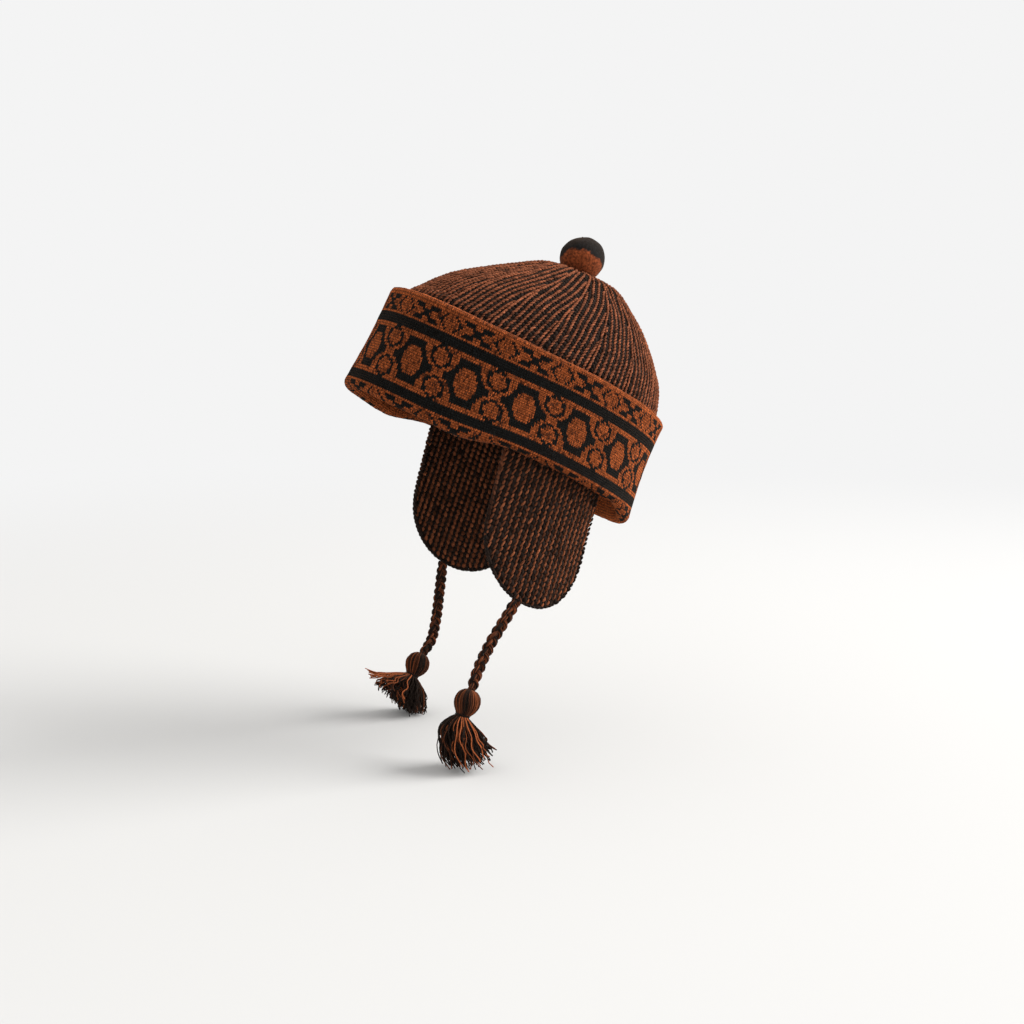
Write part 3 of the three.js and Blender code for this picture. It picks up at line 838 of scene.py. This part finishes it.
ties = {
    "left": {
        "route": [
            *((75.58, -46.27, -217.12), (75.58, -54.27, -229.12), (76.08, -64.27, -243.62)),
            *((76.58, -71.27, -256.12), (77.58, -75.77, -265.62), (78.58, -78.77, -273.12)),
        ],
        "length": 65.1, "wave": 18.5,
        "top": (78.61, -78.98, -273.64),
        "hang": (0.0602, -0.3811, -0.9226),
        "across": (0.9981, 0.0119, 0.0602),
        "fall": (1.5, 4, -31.5),  # from the binding to the middle of the cut ends
        "lift": 5, "liftSide": 1.5, "rustSide": 0.1, "rustShare": 0.075, "strays": 5, "seed": 3,
    },
    "right": {
        "route": [
            *((-75.46, -46.41, -219.18), (-74.46, -49.41, -240.18), (-73.46, -52.41, -259.18)),
            *((-71.46, -56.91, -274.18), (-69.46, -63.91, -283.18)),
        ],
        "length": 67.9, "wave": 15.5,
        "top": (-69.35, -64.24, -283.68),
        "hang": (0.1803, -0.5410, -0.8215),
        "across": (0.9821, 0.0536, 0.1803),
        "fall": (2.5, -7.5, -25),
        "lift": 25, "liftSide": -1.6, "rustSide": -1.3, "rustShare": 0.1, "strays": 20, "seed": 8,
    },
}
tie = {
    "width": 8, "swing": 2.65, "cross": 1.2, "strand": 1.12, "yarns": 10, "yarn": 1.0,
    "twist": 13,  # length of one turn of a strand's yarns
    "startIn": 2,  # how far it reaches into the flap
    "endIn": 3,  # and into the tassel's head
    "rusts": ((0.0, 0.22, 0.5), (0.38, 0.36, 0.26)),  # how rusty its yarns are, and their shares
}


def smoothLine(points, count):
    # A line of even steps through the points, with ends that keep their direction.
    points = np.asarray(points, float)
    ends = np.concatenate([[2 * points[0] - points[1]], points, [2 * points[-1] - points[-2]]])
    parts = []
    for k in range(len(points) - 1):
        p = ends[k : k + 4]
        t = np.cumsum([0, *(np.linalg.norm(p[j + 1] - p[j]) ** 0.5 for j in range(3))])
        u = np.linspace(t[1], t[2], 60, endpoint=k == len(points) - 2)[:, None]

        def blend(a, b, low, high):
            return (t[high] - u) / (t[high] - t[low]) * a + (u - t[low]) / (t[high] - t[low]) * b

        first, second, third = (blend(p[j], p[j + 1], j, j + 1) for j in range(3))
        parts.append(blend(blend(first, second, 0, 2), blend(second, third, 1, 3), 1, 2))
    line = np.concatenate(parts)
    run = lengthAlong(line)
    return between(line, np.linspace(0, run[-1], count), run), run[-1]


def makeTie(side):
    facts = ties[side]
    centre, length = smoothLine(facts["route"], 96)
    draw = np.random.default_rng(facts["seed"])
    going = unit(np.gradient(centre, axis=0))
    before, beyond = -tie["startIn"] * np.array([1, 0.5]), tie["endIn"] * np.array([0.5, 1])
    starting, ending = centre[0] + np.outer(before, going[0]), centre[-1] + np.outer(beyond, going[-1])
    core = np.concatenate([starting, centre, ending])
    run = np.concatenate([before, np.linspace(0, length, len(centre)), length + beyond])
    ahead = unit(np.gradient(core, axis=0))
    flat = unit(np.cross(ahead, np.array([1.0, 0, 0])))  # across the braid
    face = unit(np.cross(flat, ahead))
    close = 1 - 0.25 * np.exp(-np.maximum(length - run, 0) / 3) - 0.15 * np.exp(-np.maximum(run, 0) / 3)
    lines = []
    for strand in range(3):
        phase = math.tau * (run / facts["wave"] + strand / 3)
        swing, cross = (close * tie[key] for key in ("swing", "cross"))
        path = core + (swing * np.sin(phase))[:, None] * flat + (cross * np.sin(2 * phase))[:, None] * face
        way = unit(np.gradient(path, axis=0))
        sideways = unit(np.cross(way, face))
        outward = unit(np.cross(sideways, way))
        for yarn in range(tie["yarns"]):
            angle = math.tau * (yarn / (tie["yarns"] - 1) + run / tie["twist"]) + strand
            reach = tie["strand"] * (0 if yarn == tie["yarns"] - 1 else draw.uniform(0.85, 1.05)) * close
            offset = np.cos(angle)[:, None] * sideways + np.sin(angle)[:, None] * outward
            rust = draw.choice(tie["rusts"][0], p=tie["rusts"][1])
            lines.append((path + reach[:, None] * offset, rust, draw.normal(0, 0.12), 1.0))
    piece = layYarn(f"tie_{side}_braid", lines, yarnWool, tie["yarn"], 6)
    fit(piece, "tie_yarn", f"tie_{side}")
    print(f"tie {side}: {length:.1f} mm")
    return piece, centre, length


# Tassels: yarns gathered over a head, bound at the waist and cut off below

tassel = {
    "head": 17.5, "waist": 8.5, "skirt": 42,
    "stiff": 0.42,  # how far the skirt keeps the head's direction
    "headYarns": 110,
    "headYarn": 0.8,  # thickness by the skirt's yarns
    "headRusts": ((0.0, 0.25, 0.7), (0.42, 0.33, 0.25)), "swirl": 0.7, "skirtYarns": 270, "yarn": 0.9,
    "curl": 1.6, "straySpread": 0.7, "windings": 4, "windingYarn": 1.3,
}
goldenAngle = 2.399963
# Shares of the head's half width and of its height, from the tie down to the binding.
headOut = [0.1, 0.45, 0.78, 0.95, 0.97, 0.8, 0.52, 0.4]
headDown = [0, 0.03, 0.16, 0.36, 0.55, 0.76, 0.94, 1.03]
# Shares of the skirt's half width, at even steps down: yarns leave the binding sideways and then hang.
skirtOut = [0.14, 0.4, 0.6, 0.71, 0.77, 0.8, 0.8, 0.79]


def alongTable(table, share):
    return np.interp(share, np.linspace(0, 1, len(table)), table)


def headPlace(facts, out, turn, down):
    hang, across = unit(np.array(facts["hang"])), unit(np.array(facts["across"]))
    side = np.cross(across, hang)
    out, turn, down = np.broadcast_arrays(out, turn, down)
    radial = np.cos(turn)[..., None] * across + np.sin(turn)[..., None] * side
    return np.array(facts["top"]) + out[..., None] * radial + down[..., None] * hang


def skirtPlace(facts, out, turn, share, lift=0):
    # The skirt starts along the head's axis, then falls to the floor and spreads level over it.
    hang, across, fall = (np.array(facts[key]) for key in ("hang", "across", "fall"))
    share, out, turn = np.broadcast_arrays(share, out, turn)
    s = share[..., None]
    side = np.cross(across, hang)
    levelAcross = unit(across - fall * (across @ fall) / (fall @ fall))
    levelSide = np.cross(levelAcross, unit(fall))
    alongAcross = across + (levelAcross - across) * np.clip(s, 0, 1)
    alongSide = side + (levelSide - side) * np.clip(s, 0, 1)
    waist = np.array(facts["top"]) + tassel["head"] * hang
    middle = 2 * s * (1 - s) * tassel["stiff"] * np.linalg.norm(fall) * hang + s * s * fall
    radial = np.cos(turn)[..., None] * alongAcross + np.sin(turn)[..., None] * alongSide
    return waist + middle + out[..., None] * radial + (lift * share**2)[..., None] * np.array([0, 0, 1])


def tasselCore(facts, side):
    # A dark body under the yarns, so that no light comes through between them. Halving its brightness paints
    # the shade inside the tassel.
    count = 20
    turns = np.arange(count) / count * math.tau
    shares = np.linspace(0, 1, 10)[:, None]
    out, down = (alongTable(table, shares) * tassel["head"] for table in (headOut, headDown))
    head = headPlace(facts, out / 2 - 0.5, turns, down + 0.6)
    shares = np.linspace(0.1, 0.82, 9)[:, None]
    skirt = skirtPlace(facts, alongTable(skirtOut, shares) * tassel["skirt"] / 2 * 0.7 - 0.3, turns, shares)
    points = np.concatenate([head, skirt])
    ends = [list(range(count))[::-1], list(range(points.size // 3 - count, points.size // 3))]
    faces = gridFaces(len(points), count).tolist() + ends
    values = {"rust": np.zeros(points.size // 3), "shade": np.full(points.size // 3, -0.5)}
    return fit(meshPiece(f"tassel_{side}_core", points, faces, yarnWool, values), "tassel_yarn")


def makeTassel(side):
    facts = ties[side]
    draw = np.random.default_rng(facts["seed"] + 50)
    floor = studio["floorHeight"] / mm + tassel["yarn"] / 2
    lines = []
    share = np.linspace(0, 1, 14)
    for k in range(tassel["headYarns"]):
        turn = math.tau * (k + draw.uniform(-0.5, 0.5)) / tassel["headYarns"]
        turn = turn + draw.normal(tassel["swirl"], 0.06) * share
        out = alongTable(headOut, share) * tassel["head"] / 2 * (1 + draw.normal(0, 0.025))
        path = headPlace(facts, out, turn, alongTable(headDown, share) * tassel["head"] + 0.2)
        rust = draw.choice(tassel["headRusts"][0], p=tassel["headRusts"][1])
        lines.append((path, rust, draw.normal(0, 0.2), tassel["headYarn"]))
    for k in range(tassel["skirtYarns"] + facts["strays"]):
        stray = k >= tassel["skirtYarns"]
        spread = 1.04 if stray else math.sqrt((k + 0.5) / tassel["skirtYarns"])
        if stray:
            turn = draw.normal(facts["rustSide"], tassel["straySpread"])
        else:
            turn = k * goldenAngle + draw.normal(0, 0.12)
        reach = draw.normal(1, 0.06) * (1 - 0.06 * spread)
        out = alongTable(skirtOut, share) * tassel["skirt"] / 2 * (0.1 + 0.9 * spread)
        curl = tassel["curl"] * np.minimum(share * 1.6, 1) * (0.35 + 0.65 * spread) * (0.8 if stray else 1)
        wiggle = share * draw.uniform(2, 5) * math.pi + draw.uniform(0, 6.28)
        out = np.maximum(out + 0.7 * curl * np.sin(wiggle), 0.2)
        turnLine = turn + curl * np.cos(wiggle * 1.2) / np.maximum(out, 3)
        lift = facts["lift"] * max(math.cos(turn - facts["liftSide"]), 0) * spread * draw.uniform(0.45, 1.1)
        out = out + 0.45 * lift * share**2
        many = facts["rustShare"] * (1.8 if math.cos(turn - facts["rustSide"]) > 0.8 else 0.6)
        rust = draw.choice([0.0, 0.3, 1.0], p=[1 - 2.2 * many, 1.2 * many, many])
        shade = draw.normal(0.1 if stray else -0.05, 0.18)
        path = skirtPlace(facts, out, turnLine, share * reach, lift)
        path[:, 2] = np.maximum(path[:, 2], floor)  # long ones lie on the floor
        lines.append((path, 1.0 if stray else rust, shade, 1.0 - 0.2 * share))
    piece = layYarn(f"tassel_{side}_yarns", lines, yarnWool, tassel["yarn"], 5)
    fit(piece, "tassel_yarn", f"tassel_{side}")
    core = tasselCore(facts, side)

    share = np.linspace(0, 1, 120)
    turn = share * tassel["windings"] * math.tau
    out = tassel["waist"] / 2 + 0.1 + 0.25 * np.sin(turn * 2.5)
    wrap = [(headPlace(facts, out, turn, tassel["head"] - 1.9 + share * 2.6), 0.0, 0.0, 1.0)]
    binding = layYarn(f"binding_{side}_wraps", wrap, yarnWool, tassel["windingYarn"], 6)
    fit(binding, "binding_yarn", f"binding_{side}")
    return piece, core, binding


# Pompom of felted wool

pompom = {
    "cap": (-0.492, 0.449, 0.747),  # where the middle of the black cap faces
    "capAt": -0.35,  # how far its edge is from the ball's middle, as a share of the radius
    "torn": 0.7, "blur": 0.06,
    "rust": "#683118",
    "black": "#0f1112",
    "rim": "#b0886a",
    "lumps": ((0.35, 61, 3), (0.12, 62, 11)),  # height, seed and waves
    "proud": 0.9,
    "narrower": 1.5,  # how much less it stands out at the top
}


def feltMaterial(middle, radius):
    # Felted wool: matted fibres, matt and slightly hairy, with a torn line between its two colours.
    material, tree = newMaterial("felted wool")
    place = addNode(tree, "ShaderNodeTexCoord").outputs["Object"]
    mapped = {"Vector": place, "Location": [-c / radius for c in middle], "Scale": [1 / radius] * 3}
    centred = addNode(tree, "ShaderNodeMapping", mapped, vector_type="POINT")
    cap = {0: centred, 1: list(unit(np.array(pompom["cap"])))}
    towards = addNode(tree, "ShaderNodeVectorMath", cap, operation="DOT_PRODUCT")
    values = {"towards": towards.outputs["Value"]}
    for label, vector, scale, detail, rough, distortion in (
        ("ragged", centred, 3.2, 5.0, 0.65, 0.0),
        ("height", place, 620.0, 2.0, 0.6, 0.6),
        ("cloud", place, 260.0, 3.0, 0.5, 0.0),
    ):
        inputs = {"Vector": vector, "Scale": scale, "Detail": detail, "Roughness": rough}
        values[label] = addNode(tree, "ShaderNodeTexNoise", {**inputs, "Distortion": distortion})
    steps = [
        ("shift", "MULTIPLY_ADD", "ragged", pompom["torn"], -pompom["torn"] / 2),
        ("edge", "ADD", "towards", "shift"),
        ("hairy", "MULTIPLY_ADD", "height", 3.0, -0.65),
        ("clouded", "MULTIPLY_ADD", "cloud", 0.6, 0.95),
        ("light", "MULTIPLY", "hairy", "clouded"),
    ]
    addSteps(tree, values, steps)
    low, high = pompom["capAt"] - pompom["blur"], pompom["capAt"] + pompom["blur"]
    span = {"Value": values["edge"], "From Min": low, "From Max": high, "To Min": 1.0, "To Max": 0.0}
    values["rust"] = addNode(tree, "ShaderNodeMapRange", span, interpolation_type="SMOOTHSTEP")
    looks = {"Roughness": 1.0, "Specular IOR Level": 0.1, "Sheen Roughness": 0.6}
    closeMaterial(tree, values, pompom["black"], pompom["rust"], pompom["rim"], 0.7, looks)
    return material


def makePompom():
    low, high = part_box("pompom")
    middle, radius = (low + high) / 2, (high.x - low.x) / 2
    rows, columns = 64, 96
    up = np.linspace(0, math.pi, rows + 1)[1:-1, None]
    turn = np.arange(columns)[None, :] / columns * math.tau
    way = [np.sin(up) * np.cos(turn), np.sin(up) * np.sin(turn), np.cos(up)]
    way = np.stack(np.broadcast_arrays(*way), -1)
    lumps = pompom["proud"] - pompom["narrower"] * np.maximum(way[..., 2], 0) ** 1.5
    for height, seed, often in pompom["lumps"]:
        lumps = lumps + height * ripple(seed, *(way[..., k] * often for k in range(3)))
    centre = np.array(middle) / mm
    points = centre + way * (radius / mm + lumps)[..., None]
    ends = [centre + (0, 0, radius / mm - 0.6), centre - (0, 0, radius / mm + pompom["proud"])]
    count = points.shape[0] * columns
    base = count - columns
    faces = gridFaces(points.shape[0], columns)[:, ::-1].tolist()
    faces += [[k, (k + 1) % columns, count] for k in range(columns)]
    faces += [[base + (k + 1) % columns, base + k, count + 1] for k in range(columns)]
    points = np.concatenate([points.reshape(-1, 3), ends])
    fit(meshPiece("pompom_felt", points, faces, feltMaterial(middle, radius)), "pompom_felt", "pompom")


tiePieces = {side: makeTie(side) for side in ties}
tasselPieces = {side: makeTassel(side) for side in ties}
print("ties and tassels made")
makeCuff()
print("cuff made")
makeCrown()
makeFlap("left", 1)
makeFlap("right", -1)
print("crown and flaps made")
makePompom()
print("pompom made")
